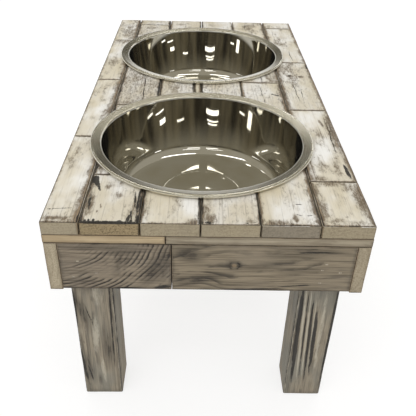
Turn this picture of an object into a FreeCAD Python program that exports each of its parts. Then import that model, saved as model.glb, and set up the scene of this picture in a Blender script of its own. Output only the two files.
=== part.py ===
import FreeCAD, Part
import math
import os

# Raised dog feeder: two steel bowls that lift out of a low table made of short salvaged boards.
# Origin on the floor under the middle of the top. X runs across, Y from front to rear, Z up.
# All sizes are in millimetres.

# Bowls, each spun from one steel sheet
rim_radius = 105.0
flange_width = 10.5          # from the rim's edge in to the top of the wall
flange_slope = 18.0          # degrees that the flange rises towards its edge
bowl_depth = 63.0            # from the rim down to the floor
wall_flare = 9.5             # the corner at the floor is this much narrower than the wall's top
corner_radius = 14.0         # between the floor and the wall
lip_radius = 2.0             # between the wall and the flange
bead_radius = 1.8            # rolled edge of the flange
bead_curl = 40.0             # degrees that the bead turns in under the flange
disc_radius = 40.0           # raised disc in the middle of the floor
disc_height = 1.2
disc_slope = 2.5             # width of the disc's sloping edge
sheet = 0.8
seat_clearance = 0.3         # bead to the boards that carry it
hole_clearance = 1.7         # bowl wall to the sawn hole

# Places of the bowls in the top, measured at their rims
front_margin = 33.0
rear_margin = 43.0
left_margin = 17.0
right_margin = 27.0
bowl_gap = 30.0

# Top boards, laid front to rear in columns with broken joints
board_thickness = 12.0
left_column_width = 28.5     # the two outer columns are ripped narrower than the rest
right_column_width = 41.1
column_seam = 0.8
butt_gap = 0.5
seam_eases = (2.4, 1.8, 1.4, 1.5, 2.6)                  # rounded edges along each seam
outer_ease = 1.2
filler_width = 7.0           # narrow strip that makes up one column between the bowls

# Butt joints of each column from left to right, and how far behind the place named each one lies
butt_joints = (
    (("front bowl", 2.0), ("bridge", 26.5), ("rear bowl", 51.0)),
    (("front edge", 70.0), ("bridge", -43.5), ("rear bowl", 0.0), ("rear edge", -22.5)),
    (("front bowl", 0.0), ("rear bowl", 0.0)),
    (("front bowl", 0.0), ("rear bowl", 0.0)),
    (("front bowl", 0.0), ("bridge", 25.0), ("rear bowl", 0.0)),
    (("front edge", 64.0), ("bridge", -49.5), ("rear bowl", -25.0), ("rear edge", -28.5)),
)

# Deck of cross slats that carries the boards, sawn flush with them
deck_thickness = 7.5
slat_count = 8
slat_gap = 1.0
slat_ease = 0.8
slat_joint = 33.0            # butt joint of the end slats, from the middle

# Apron round the table, flush with the deck
apron_thickness = 10.5
apron_height = 46.5          # front and rear
side_apron_drop = 1.2        # the sides hang this much lower
apron_joint = 28.6           # butt joint of the end aprons, from the middle
apron_ease = 0.8
rail_height = 40.0           # backer rail behind each end apron

# Legs
leg_side = 36.0
leg_clear_height = 159.0     # floor to the lower edge of the end aprons
leg_ease = 1.5
foot_ease = 1.0

# Brads, flat wire with a T head and a chisel point
brad_width = 1.25
brad_thickness = 1.0
brad_head_width = 2.2
brad_head_height = 0.8
brad_bite = 12.0             # length held in the last piece
brad_clearance = 0.05
deck_brads_per_end = 2

# Places of brads on a leg: along its face from the middle, and up from the end apron's lower edge
end_brads_left = ((-3.5, 28.5), (10.0, 16.5), (-8.5, 12.5))
end_brads_right = ((-4.5, 28.5), (-7.0, 22.5), (7.5, 20.0), (-7.5, 9.0))
side_brads = ((-8.0, 32.0), (6.0, 24.5), (-3.0, 6.0))

# Sizes and levels that follow
top_width = left_margin + 2 * rim_radius + right_margin
top_length = front_margin + 4 * rim_radius + bowl_gap + rear_margin
right_edge = top_width / 2
rear_edge = top_length / 2
bowl_x = left_margin + rim_radius - right_edge
front_bowl_y = front_margin + rim_radius - rear_edge
rear_bowl_y = front_bowl_y + 2 * rim_radius + bowl_gap
wall_radius = rim_radius - flange_width
floor_radius = wall_radius - wall_flare - corner_radius
hole_radius = wall_radius + sheet + hole_clearance
bridge_front = front_bowl_y + hole_radius
bridge_rear = rear_bowl_y - hole_radius
joint_places = {
    "front edge": -rear_edge,
    "front bowl": front_bowl_y,
    "bridge": (front_bowl_y + rear_bowl_y) / 2,
    "rear bowl": rear_bowl_y,
    "rear edge": rear_edge,
}

apron_bottom = leg_clear_height
deck_bottom = apron_bottom + apron_height
board_bottom = deck_bottom + deck_thickness
top_level = board_bottom + board_thickness

leg_x = right_edge - apron_thickness - leg_side / 2
leg_y = rear_edge - 2 * apron_thickness - leg_side / 2

X_AXIS = FreeCAD.Vector(1, 0, 0)
Y_AXIS = FreeCAD.Vector(0, 1, 0)
Z_AXIS = FreeCAD.Vector(0, 0, 1)
PARALLEL = 1e-6              # largest sine of the angle between two parallel edges

nodes = {}


def block(low, high):
    """Box between two corners."""
    size = [b - a for a, b in zip(low, high)]
    return Part.makeBox(*size, FreeCAD.Vector(*low))


def eased(solid, direction, radius):
    """Solid with its straight edges along one direction rounded."""
    edges = []
    for edge in solid.Edges:
        if edge.tangentAt(edge.FirstParameter).cross(direction).Length < PARALLEL:
            edges.append(edge)
    return solid.makeFillet(radius, edges)


def point(x, z):
    """Point in the XZ plane, where the sections are drawn."""
    return FreeCAD.Vector(x, 0, z)


def on_arc(centre, radius, angle):
    """Point on a circle in the XZ plane, at an angle in degrees from X."""
    turn = math.radians(angle)
    return centre + point(radius * math.cos(turn), radius * math.sin(turn))


def arc(centre, radius, start, end):
    """Arc in the XZ plane between two angles in degrees."""
    angles = (start, (start + end) / 2, end)
    return Part.Arc(*[on_arc(centre, radius, angle) for angle in angles]).toShape()


def straight(start, end):
    """Straight edge between two points."""
    return Part.LineSegment(start, end).toShape()


def sawn(shape):
    """Pieces of a board that are left when both bowl holes are sawn through it."""
    for y in (front_bowl_y, rear_bowl_y):
        foot = FreeCAD.Vector(bowl_x, y, deck_bottom)
        shape = shape.cut(Part.makeCylinder(hole_radius, top_level - deck_bottom, foot, Z_AXIS))
    return shape.Solids


def top_board(left, right, front, rear, left_ease, right_ease):
    """One board of the top: its section has a rounded edge on each side and runs along Y."""
    right_centre = point(right - right_ease, top_level - right_ease)
    left_centre = point(left + left_ease, top_level - left_ease)
    section = Part.Wire([
        straight(point(left, board_bottom), point(right, board_bottom)),
        straight(point(right, board_bottom), on_arc(right_centre, right_ease, 0)),
        arc(right_centre, right_ease, 0, 90),
        straight(on_arc(right_centre, right_ease, 90), on_arc(left_centre, left_ease, 90)),
        arc(left_centre, left_ease, 90, 180),
        straight(on_arc(left_centre, left_ease, 180), point(left, board_bottom)),
    ])
    section.translate(Y_AXIS * front)
    return Part.Face(section).extrude(Y_AXIS * (rear - front))


def column_spans():
    """Left and right side of each column. Those between the two outer ones are equally wide."""
    seams = (len(butt_joints) - 1) * column_seam
    middle_count = len(butt_joints) - 2
    middle_width = (top_width - left_column_width - right_column_width - seams) / middle_count
    left = -right_edge
    spans = []
    for width in [left_column_width] + [middle_width] * middle_count + [right_column_width]:
        spans.append((left, left + width))
        left += width + column_seam
    return spans


def board_runs(joints):
    """Front and rear end of each board along a column, in order from the front."""
    places = [joint_places[place] + behind for place, behind in joints]
    starts = [-rear_edge] + [place + butt_gap / 2 for place in places]
    ends = [place - butt_gap / 2 for place in places] + [rear_edge]
    return list(zip(starts, ends))


def lay_top():
    """Columns of boards, sawn to let the bowls in, and the narrow strip between the bowls."""
    spans = column_spans()
    # The strip makes up the column that ends nearest to the line through both bowls
    filler_end = min((right for left, right in spans), key=lambda right: abs(right - bowl_x))
    eases = (outer_ease,) + seam_eases + (outer_ease,)
    for index, (left, right) in enumerate(spans):
        left_ease, right_ease = eases[index:index + 2]
        strip_left = right - filler_width
        if right == filler_end:
            strip = top_board(strip_left, right, front_bowl_y, rear_bowl_y, right_ease, right_ease)
            nodes["top_filler_strip"] = Part.makeCompound(sawn(strip))
        pieces = []
        for front, rear in board_runs(butt_joints[index]):
            beside_strip = right == filler_end and front < bridge_rear and rear > bridge_front
            side = strip_left - column_seam if beside_strip else right
            pieces += sawn(top_board(left, side, front, rear, left_ease, right_ease))
        pieces.sort(key=lambda piece: piece.CenterOfMass.y)
        for number, piece in enumerate(pieces, start=1):
            nodes[f"top_board_{chr(ord('a') + index)}{number}"] = piece


def slat_spans():
    """Front and rear side of each deck slat."""
    pitch = (2 * rear_edge + slat_gap) / slat_count
    fronts = [-rear_edge + number * pitch for number in range(slat_count)]
    return [(front, front + pitch - slat_gap) for front in fronts]


def lay_deck():
    """Cross slats under the boards. The two end slats are pieced from two lengths."""
    for number, (front, rear) in enumerate(slat_spans(), start=1):
        ends = [(-right_edge, right_edge)]
        if number in (1, slat_count):
            joint = -slat_joint if number == 1 else slat_joint
            ends = [(-right_edge, joint - butt_gap / 2), (joint + butt_gap / 2, right_edge)]
        pieces = []
        for left, right in ends:
            slat = block((left, front, deck_bottom), (right, rear, board_bottom))
            pieces += sawn(eased(slat, X_AXIS, slat_ease))
        pieces.sort(key=lambda piece: piece.CenterOfMass.x)
        sides = [""] if len(pieces) == 1 else ["_left", "_right"]
        for side, piece in zip(sides, pieces):
            nodes[f"deck_slat_{number}{side}"] = piece


def build_apron():
    """Long side aprons, pieced end aprons between them, and a backer rail behind each joint."""
    inner_x = right_edge - apron_thickness
    for side, sign in (("left", -1), ("right", 1)):
        low_x, high_x = sorted((sign * inner_x, sign * right_edge))
        board = block((low_x, -rear_edge, apron_bottom - side_apron_drop), (high_x, rear_edge, deck_bottom))
        nodes[f"side_apron_{side}"] = eased(board, Y_AXIS, apron_ease)
    for end, sign in (("front", -1), ("rear", 1)):
        outer, middle, inner = [sign * (rear_edge - layer * apron_thickness) for layer in range(3)]
        low_y, high_y = sorted((outer, middle))
        joint = sign * apron_joint
        spans = {"left": (-inner_x, joint - butt_gap / 2), "right": (joint + butt_gap / 2, inner_x)}
        for side, (left, right) in spans.items():
            board = block((left, low_y, apron_bottom), (right, high_y, deck_bottom))
            nodes[f"{end}_apron_{side}"] = eased(board, X_AXIS, apron_ease)
        low_y, high_y = sorted((middle, inner))
        rail_bottom = deck_bottom - rail_height
        nodes[f"{end}_backer_rail"] = block((-inner_x, low_y, rail_bottom), (inner_x, high_y, deck_bottom))


def build_legs():
    """Four square legs with eased edges, tight in the corners of the apron."""
    half = leg_side / 2
    for end, y in (("front", -leg_y), ("rear", leg_y)):
        for side, x in (("left", -leg_x), ("right", leg_x)):
            leg = eased(block((x - half, y - half, 0), (x + half, y + half, deck_bottom)), Z_AXIS, leg_ease)
            foot = [edge for edge in leg.Edges if edge.BoundBox.ZMax < foot_ease]
            nodes[f"leg_{end}_{side}"] = leg.makeChamfer(foot_ease, foot)


def sheet_line():
    """Upper line of a bowl's sheet, from the middle of the floor to the rolled edge."""
    rim_level = top_level + seat_clearance + 2 * bead_radius
    floor_level = rim_level - bowl_depth
    corner = point(floor_radius, floor_level + corner_radius)
    bead = point(rim_radius - bead_radius, rim_level - bead_radius)
    # The flange touches the lip and the bead from above, so its slope sets how far the lip lies below
    slope = math.radians(flange_slope)
    reach = bead.x - wall_radius - lip_radius
    lip_drop = (lip_radius - bead_radius + reach * math.sin(slope)) / math.cos(slope)
    lip = point(wall_radius + lip_radius, bead.z - lip_drop)
    # The wall is the straight line that touches the corner's outer side and the lip's inner side
    across = lip - corner
    bearing = math.degrees(math.atan2(across.z, across.x))
    touch = bearing - math.degrees(math.acos((corner_radius + lip_radius) / across.Length))
    flange_up = 90 + flange_slope
    disc_middle = point(0, floor_level + disc_height)
    disc_top = point(disc_radius - disc_slope, floor_level + disc_height)
    disc_foot = point(disc_radius, floor_level)
    return Part.Wire([
        straight(disc_middle, disc_top),
        straight(disc_top, disc_foot),
        straight(disc_foot, on_arc(corner, corner_radius, -90)),
        arc(corner, corner_radius, -90, touch),
        straight(on_arc(corner, corner_radius, touch), on_arc(lip, lip_radius, touch + 180)),
        arc(lip, lip_radius, touch + 180, flange_up),
        straight(on_arc(lip, lip_radius, flange_up), on_arc(bead, bead_radius, flange_up)),
        arc(bead, bead_radius, flange_up, -90),
        arc(bead, bead_radius, -90, -90 - bead_curl),
    ])


def spin_bowls():
    """Two equal bowls: the sheet's section, turned about the bowl's axis."""
    section = sheet_line().makeOffset2D(-sheet, 0, True, True, False)
    bowl = section.revolve(FreeCAD.Vector(0, 0, 0), Z_AXIS, 360)
    for name, y in (("front_bowl", front_bowl_y), ("rear_bowl", rear_bowl_y)):
        nodes[name] = bowl.translated(FreeCAD.Vector(bowl_x, y, 0))


def brad(head, way, across, length, clearance):
    """Brad driven in at its head with the T lying across, or its pilot hole with a clearance."""
    shank = brad_width / 2 + clearance
    cap = brad_head_width / 2 + clearance
    neck = brad_head_height + clearance
    tip = length + clearance
    one_side = [(cap, 0), (cap, neck), (shank, neck), (shank, tip - shank), (0, tip)]
    other_side = [(-u, v) for u, v in reversed(one_side[:-1])]
    outline = one_side + other_side + one_side[:1]
    flat = way.cross(across) * (brad_thickness + 2 * clearance)
    points = [head + across * u + way * v - flat / 2 for u, v in outline]
    return Part.Face(Part.makePolygon(points)).extrude(flat)


def drive_brads(name, places, length):
    """One node of brads, with a pilot hole for each in every piece that it passes through."""
    nodes[name] = Part.makeCompound([brad(*place, length, 0) for place in places])
    for place in places:
        pilot = brad(*place, length, brad_clearance)
        for other, shape in nodes.items():
            if other != name and shape.BoundBox.intersect(pilot.BoundBox):
                nodes[other] = shape.cut(pilot)


def half_turn(places):
    """The same brads on the opposite side of the table."""
    turn = FreeCAD.Rotation(Z_AXIS, 180)
    return [[turn.multVec(vector) for vector in place] for place in places]


def fasten():
    """Brads through the aprons into the legs, and through the ends of the slats into the side aprons."""
    front = []
    for middle, pattern in ((-leg_x, end_brads_left), (leg_x, end_brads_right)):
        for along, up in pattern:
            front.append((FreeCAD.Vector(middle + along, -rear_edge, apron_bottom + up), Y_AXIS, X_AXIS))
    right = []
    for middle in (-leg_y, leg_y):
        for along, up in side_brads:
            right.append((FreeCAD.Vector(right_edge, middle + along, apron_bottom + up), -X_AXIS, Y_AXIS))
    deck = []
    for slat_front, slat_rear in slat_spans():
        for number in range(deck_brads_per_end):
            y = slat_front + (slat_rear - slat_front) * (number + 0.5) / deck_brads_per_end
            deck.append((FreeCAD.Vector(right_edge - apron_thickness / 2, y, board_bottom), -Z_AXIS, Y_AXIS))
    drive_brads("front_apron_brads", front, 2 * apron_thickness + brad_bite)
    drive_brads("rear_apron_brads", half_turn(front), 2 * apron_thickness + brad_bite)
    drive_brads("side_apron_brads", right + half_turn(right), apron_thickness + brad_bite)
    drive_brads("deck_brads", deck + half_turn(deck), deck_thickness + brad_bite)


lay_top()
lay_deck()
build_apron()
build_legs()
spin_bowls()
fasten()

os.makedirs("parts", exist_ok=True)
for name, shape in nodes.items():
    shape.exportStep(f"parts/{name}.step")
print(len(nodes), "nodes")
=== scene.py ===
# %% [markdown]
# # A raised dog feeder of salvaged boards
# The real object is a low table: a box of aprons on four square legs, a deck of cross slats, and a top of
# short painted boards with two round holes for steel bowls. The frame that is loaded here already has every
# piece at its true size and place. This lesson gives each piece its worn edges, its cracks and its finish.
# A picture of the wood could be pasted on, but then it would look right from one side only, so the shapes
# are cut in the mesh and the finishes are built from shader nodes.

# %% Load the frame
import math
import random

import bmesh
import bpy
from mathutils import Matrix, Vector, noise


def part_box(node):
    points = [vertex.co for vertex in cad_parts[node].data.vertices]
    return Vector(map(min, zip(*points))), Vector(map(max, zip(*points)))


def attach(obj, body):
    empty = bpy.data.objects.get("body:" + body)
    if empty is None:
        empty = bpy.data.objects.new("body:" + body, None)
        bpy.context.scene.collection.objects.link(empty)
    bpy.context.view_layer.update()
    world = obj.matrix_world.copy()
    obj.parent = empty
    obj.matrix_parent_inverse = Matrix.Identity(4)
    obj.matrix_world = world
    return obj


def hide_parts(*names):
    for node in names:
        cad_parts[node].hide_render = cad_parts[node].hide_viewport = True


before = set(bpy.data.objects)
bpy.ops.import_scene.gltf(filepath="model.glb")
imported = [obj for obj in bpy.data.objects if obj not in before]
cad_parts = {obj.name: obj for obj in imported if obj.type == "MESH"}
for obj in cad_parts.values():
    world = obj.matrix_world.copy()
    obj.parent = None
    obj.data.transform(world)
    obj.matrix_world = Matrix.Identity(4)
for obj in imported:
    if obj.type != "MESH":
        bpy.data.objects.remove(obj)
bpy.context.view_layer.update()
scene = bpy.context.scene
scene.view_settings.view_transform = "Standard"
MM = 0.001

# %% [markdown]
# ## Camera
# The picture is taken from in front of the table and a little above it, close enough for the far end to look
# much narrower. A camera can be turned by three angles, but it is easier to read as a place, a point that it
# looks at and a small roll. The lens follows from the focal length measured in pixels of the square image.

# %% Camera
IMAGE_SIDE = 416
FOCAL_PIXELS = 559.6
camera_place = Vector((-9.6, -602.0, 471.2)) * MM
aim_point = Vector((-0.6, -241.2, 225.0)) * MM
camera_roll = math.radians(1.70)

camera_data = bpy.data.cameras.new("photo_camera")
camera_data.lens = FOCAL_PIXELS * camera_data.sensor_width / IMAGE_SIDE
camera = bpy.data.objects.new("photo_camera", camera_data)
look = (aim_point - camera_place).to_track_quat("-Z", "Y").to_matrix().to_4x4()
camera.matrix_world = Matrix.Translation(camera_place) @ look @ Matrix.Rotation(camera_roll, 4, "Z")
scene.collection.objects.link(camera)
scene.camera = camera
print("lens", round(camera_data.lens, 2), "mm")

# %% [markdown]
# ## Helpers for shader nodes
# A material is a small tree of nodes. Making each one by hand takes many lines, so a few helpers place a
# node and feed its sockets with values or with other sockets. The finishes below then read like recipes.


# %% Node helpers
def feed(tree, socket, value):
    """Link a socket to another one, or set its plain value."""
    if isinstance(value, bpy.types.NodeSocket):
        tree.links.new(value, socket)
    else:
        socket.default_value = value


def put(tree, kind, inputs=None, **options):
    """Place one shader node, with its options and with named inputs."""
    made = tree.nodes.new("ShaderNode" + kind)
    for name, value in options.items():
        setattr(made, name, value)
    for name, value in (inputs or {}).items():
        feed(tree, made.inputs[name], value)
    return made


def reckon(tree, operation, *values):
    """Result of one step of arithmetic on values or sockets."""
    made = put(tree, "Math", operation=operation)
    for socket, value in zip(made.inputs, values):
        feed(tree, socket, value)
    return made.outputs[0]


def placed(tree, operation, first, second):
    """Result of one step of arithmetic on two places."""
    made = put(tree, "VectorMath", operation=operation)
    feed(tree, made.inputs[0], first)
    feed(tree, made.inputs[1], second)
    return made.outputs[0]


def mixed(tree, share, first, second):
    """One colour laid over another."""
    made = put(tree, "Mix", data_type="RGBA")
    factor, lower, upper = made.inputs[0], made.inputs[6], made.inputs[7]
    for socket, value in ((factor, share), (lower, first), (upper, second)):
        feed(tree, socket, value)
    return made.outputs[2]


def rise(tree, value, low, high, start=0.0, end=1.0):
    """Smooth step from start to end while the value goes from low to high."""
    names = {"Value": value, "From Min": low, "From Max": high, "To Min": start, "To Max": end}
    return put(tree, "MapRange", names, interpolation_type="SMOOTHSTEP").outputs[0]


def cloud(tree, place, per_metre, detail=3.0, roughness=0.55):
    """Soft noise with its own number of waves per metre along each axis of a place."""
    waves = placed(tree, "MULTIPLY", place, per_metre)
    settings = {"Vector": waves, "Scale": 1.0, "Detail": detail, "Roughness": roughness}
    return put(tree, "TexNoise", settings).outputs["Fac"]


def srgb(*levels):
    """Colour for a shader from red, green and blue levels of 0 to 255."""
    parts = [level / 255 for level in levels]
    return tuple(p / 12.92 if p <= 0.04045 else ((p + 0.055) / 1.055) ** 2.4 for p in parts) + (1.0,)


print("node helpers ready")


# %% Groups and materials
def new_group(name, inputs, outputs):
    """Empty shader group with named sockets: float sockets have a plain value, others a list or tuple."""
    group = bpy.data.node_groups.new(name, "ShaderNodeTree")
    for label, value in inputs.items():
        kind = "NodeSocketFloat" if isinstance(value, float) else "NodeSocketVector"
        group.interface.new_socket(label, in_out="INPUT", socket_type=kind).default_value = value
    for label in outputs:
        group.interface.new_socket(label, in_out="OUTPUT", socket_type="NodeSocketFloat")
    entry = group.nodes.new("NodeGroupInput").outputs
    leave = group.nodes.new("NodeGroupOutput").inputs
    return group, entry, leave


def use_group(tree, group, inputs):
    """Place a group in a material and return its outputs."""
    made = put(tree, "Group", node_tree=group)
    for name, value in inputs.items():
        feed(tree, made.inputs[name], value)
    return made.outputs


def new_material(name):
    """Material with one Principled shader, returned with its tree."""
    material = bpy.data.materials.new(name)
    material.use_nodes = True
    tree = material.node_tree
    return material, tree, tree.nodes["Principled BSDF"]


print("groups and materials can be made")

# %% [markdown]
# ## Floor
# The table stands on a plain pale floor that turns into a white background. A strong lamp would whiten the
# floor, but it would bleach the paint too. So the floor shows white by itself to the camera and to the steel:
# part of it is lit, which keeps the soft shadow, and part of it glows only for those rays.

# %% Floor
FLOOR_SIDE = 8.0
FLOOR_LIT_SHARE = 0.34
FLOOR_GLOW = 0.74
FLOOR_WHITE = 0.80


def seen_rays(tree):
    """One for rays from the camera and for rays that steel or glass sends on, else zero."""
    path = put(tree, "LightPath")
    sent_on = reckon(tree, "MAXIMUM", path.outputs["Is Glossy Ray"], path.outputs["Is Transmission Ray"])
    return reckon(tree, "MAXIMUM", path.outputs["Is Camera Ray"], sent_on)


def floor_finish():
    """White floor that keeps a soft shadow."""
    material, tree, shader = new_material("studio_floor")
    tree.nodes.remove(shader)
    plain = put(tree, "BsdfDiffuse", {"Color": (FLOOR_WHITE, FLOOR_WHITE, FLOOR_WHITE, 1)})
    lit = put(tree, "BsdfDiffuse", {"Color": (FLOOR_LIT_SHARE, FLOOR_LIT_SHARE, FLOOR_LIT_SHARE, 1)})
    glow = put(tree, "Emission", {"Strength": FLOOR_GLOW})
    shown = put(tree, "AddShader")
    tree.links.new(lit.outputs[0], shown.inputs[0])
    tree.links.new(glow.outputs[0], shown.inputs[1])
    choice = put(tree, "MixShader", {"Fac": seen_rays(tree)})
    tree.links.new(plain.outputs[0], choice.inputs[1])
    tree.links.new(shown.outputs[0], choice.inputs[2])
    tree.links.new(choice.outputs[0], tree.nodes["Material Output"].inputs["Surface"])
    return material


half = FLOOR_SIDE / 2
floor_mesh = bpy.data.meshes.new("studio_floor")
floor_mesh.from_pydata([(-half, -half, 0), (half, -half, 0), (half, half, 0), (-half, half, 0)], [], [(0, 1, 2, 3)])
floor_mesh.materials.append(floor_finish())
floor = bpy.data.objects.new("studio_floor", floor_mesh)
scene.collection.objects.link(floor)
print("floor", FLOOR_SIDE, "m square")

# %% [markdown]
# ## Room
# Polished steel looks like the room around it. Under an even white sky a bowl would look like white plastic,
# and with walls built as meshes the other views would be blocked. So the room is painted on the world: a white
# backdrop that stands a little above the horizon, then walls in dark and light bands, then a grey ceiling.
# Camera and steel see the same room, and the even light on the object doesn't depend on it.

# %% Room
ROOM_LIGHT = 0.64
HORIZON_WHITE = (1.0, 1.0, 1.0, 1)
ROOM_TINT = (1.0, 0.985, 0.95, 1)
# Heights on a sphere of radius 1 between which one tone turns into the next
BACKDROP_EDGE = (0.18, 0.22)
CEILING_EDGE = (0.36, 0.62)
BAND_WAVES = (2.4, 2.4, 0.8)
BAND_SHARE = (0.36, 0.66)
WALL_DARK = srgb(50, 46, 35)
WALL_LIGHT = srgb(124, 116, 96)
CEILING_GREY = srgb(172, 167, 152)


def build_room():
    """World that lights evenly, and shows the camera and the steel a white backdrop with a room above it."""
    world = bpy.data.worlds.new("studio_room")
    world.use_nodes = True
    scene.world = world
    tree = world.node_tree
    direction = put(tree, "TexCoord").outputs["Generated"]
    height = put(tree, "SeparateXYZ", {"Vector": direction}).outputs["Z"]
    bands = rise(tree, cloud(tree, direction, BAND_WAVES), *BAND_SHARE)
    walls = mixed(tree, bands, WALL_DARK, WALL_LIGHT)
    walls = mixed(tree, rise(tree, height, *BACKDROP_EDGE), HORIZON_WHITE, walls)
    look_of_room = mixed(tree, rise(tree, height, *CEILING_EDGE), walls, CEILING_GREY)
    seen = seen_rays(tree)
    background = tree.nodes["Background"]
    feed(tree, background.inputs["Color"], mixed(tree, seen, ROOM_TINT, look_of_room))
    feed(tree, background.inputs["Strength"], rise(tree, seen, 0.0, 1.0, ROOM_LIGHT, 1.0))


build_room()
print("room light", ROOM_LIGHT)

# %% [markdown]
# ## Lamps
# A soft panel in front gives the paint its shape. It is hidden from the steel, where it would be a white
# square. The steel gets its sparkle from two sets of narrow lamps: rows under the ceiling, which show on the
# bowls' floors, and strips far off and low, which show as small spots on their walls. One sun lamp would light
# the wood as well, but it would give the steel a single hard dot.

# %% Lamps
PANEL_SIDE = 1.6
PANEL_PLACE = (-0.7, -1.3, 1.9)
PANEL_AIM = (0, 0, 0.15)
PANEL_POWER = 9.0
TUBE_LENGTH = 0.75
# Watts for each metre of a lamp's width
TUBE_POWER = 10.0
TUBE_HEIGHT = 2.3
TUBE_COLUMNS = (-0.62, 0.48)
# Place of each row from front to rear, and the width of its lamps
TUBE_ROWS = ((-2.1, 0.22), (-1.35, 0.08), (0.4, 0.22), (1.6, 0.22), (2.9, 0.22))
FAR_DISTANCE = 3.0
# Watts for each square metre of a lamp
FAR_POWER = 13.0
FAR_AIM = Vector((0, 0, 0.22))
# Compass angle from the table's rear end, height angle, and width and height in metres
FAR_LAMPS = ((-131, 14.2, 0.7, 0.04), (-106, 16.0, 1.0, 0.03), (-100, 20.0, 0.7, 0.10), (-55, 23.0, 0.8, 0.04),
             (24, 21.4, 1.5, 0.10), (25, 24.6, 1.3, 0.03), (25, 25.8, 1.1, 0.03), (97, 16.8, 0.6, 0.04),
             (118, 17.0, 0.5, 0.34))


def area_lamp(name, place, target, size, power):
    """Rectangular lamp at a place, turned to a target."""
    data = bpy.data.lights.new(name, "AREA")
    data.shape = "RECTANGLE"
    data.size, data.size_y = size
    data.energy = power
    lamp = bpy.data.objects.new(name, data)
    lamp.location = place
    lamp.rotation_euler = (Vector(target) - Vector(place)).to_track_quat("-Z", "Y").to_euler()
    scene.collection.objects.link(lamp)
    return lamp


panel = area_lamp("soft_panel", PANEL_PLACE, PANEL_AIM, (PANEL_SIDE, PANEL_SIDE), PANEL_POWER)
panel.visible_glossy = False
for row, (y, width) in enumerate(TUBE_ROWS, start=1):
    for column, x in enumerate(TUBE_COLUMNS, start=1):
        place = (x, y, TUBE_HEIGHT)
        area_lamp(f"tube_lamp_{row}_{column}", place, (x, y, 0), (TUBE_LENGTH, width), TUBE_POWER * width)
for order, (turn, lift, width, height) in enumerate(FAR_LAMPS, start=1):
    turn, lift = math.radians(turn), math.radians(lift)
    level = FAR_DISTANCE * math.cos(lift)
    place = FAR_AIM + Vector((level * math.sin(turn), level * math.cos(turn), FAR_DISTANCE * math.sin(lift)))
    area_lamp(f"far_lamp_{order}", place, FAR_AIM, (width, height), FAR_POWER * width * height)
print(len(TUBE_ROWS) * len(TUBE_COLUMNS), "ceiling lamps,", len(FAR_LAMPS), "far lamps and a soft panel")

# %% [markdown]
# ## Wood figure
# The figure of wood is its yearly rings round the pith of the log, cut by the board's faces. A ring image
# could be drawn on each face, but a solid field of rings gives straight lines on one face, arches on the next
# and true arcs on the ends. Every wooden piece needs it, so it is a shader group, built once.

# %% Wood figure
# A place far outside any piece, so that no knot shows
NO_KNOT = (0.0, 9.0, 0.0)
figure_group, entry, leave = new_group(
    "wood_figure",
    {"Grain": (0.0, 0.0, 0.0), "Seed": 0.0, "Pith": (0.01, 0.0, -0.03), "Tilt": 0.05,
     "Ring Spacing": 0.004, "Wander": 0.012, "Knot": NO_KNOT, "Knot Reach": 0.02},
    ["Late Wood", "Fibre"])


def fill_figure(tree):
    """Distance from a wandering pith, folded into rings that also bend round one knot."""
    loose = placed(tree, "ADD", entry["Grain"], entry["Seed"])
    from_pith = placed(tree, "SUBTRACT", entry["Grain"], entry["Pith"])
    away = put(tree, "SeparateXYZ", {"Vector": from_pith}).outputs
    sway = reckon(tree, "SUBTRACT", cloud(tree, loose, (14.0, 6.0, 14.0), 2.0), 0.5)
    sway = reckon(tree, "MULTIPLY", sway, entry["Wander"])
    ripple = reckon(tree, "SUBTRACT", cloud(tree, loose, (130.0, 40.0, 130.0), 2.0), 0.5)
    from_knot = placed(tree, "SUBTRACT", entry["Grain"], entry["Knot"])
    gap = put(tree, "SeparateXYZ", {"Vector": from_knot}).outputs
    level = put(tree, "CombineXYZ", {"X": gap["X"], "Y": gap["Y"]}).outputs[0]
    span = put(tree, "VectorMath", {"Vector": level}, operation="LENGTH").outputs["Value"]
    near = reckon(tree, "POWER", reckon(tree, "DIVIDE", span, entry["Knot Reach"]), 2.0)
    pull = reckon(tree, "EXPONENT", reckon(tree, "MULTIPLY", near, -1.0))
    straight = reckon(tree, "ADD", away["X"], sway)
    across = reckon(tree, "SUBTRACT", straight, reckon(tree, "MULTIPLY", pull, gap["X"]))
    depth = reckon(tree, "MULTIPLY_ADD", away["Y"], entry["Tilt"], away["Z"])
    squares = reckon(tree, "MULTIPLY_ADD", across, across, reckon(tree, "MULTIPLY", depth, depth))
    radius = reckon(tree, "ADD", reckon(tree, "SQRT", squares), reckon(tree, "MULTIPLY", ripple, 0.0022))
    years = reckon(tree, "DIVIDE", radius, entry["Ring Spacing"])
    part = reckon(tree, "FRACT", years)
    growth = reckon(tree, "MULTIPLY", rise(tree, part, 0.30, 0.90), rise(tree, part, 0.92, 1.0, 1.0, 0.0))
    year = reckon(tree, "ADD", reckon(tree, "FLOOR", years), entry["Seed"])
    vigour = put(tree, "TexWhiteNoise", {"W": year}, noise_dimensions="1D").outputs["Value"]
    late = reckon(tree, "MULTIPLY", growth, reckon(tree, "MULTIPLY_ADD", vigour, 0.65, 0.35))
    feed(tree, leave["Late Wood"], late)
    feed(tree, leave["Fibre"], cloud(tree, loose, (900.0, 22.0, 900.0), 3.0, 0.6))


fill_figure(figure_group)
print("group", figure_group.name)

# %% [markdown]
# ## Ragged mask
# Paint wears off by fibres along the grain, not along a clean line. A painted mask would need a fine image for
# each board. This group takes a smooth field, such as nearness to an edge, and tears it with stretched noise.

# %% Ragged mask
ragged_group, entry, leave = new_group(
    "ragged_mask",
    {"Field": 0.0, "Grain": (0.0, 0.0, 0.0), "Seed": 0.0, "Size": 300.0, "Stretch": 3.0,
     "Rag": 0.9, "Softness": 0.08},
    ["Mask"])


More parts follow.
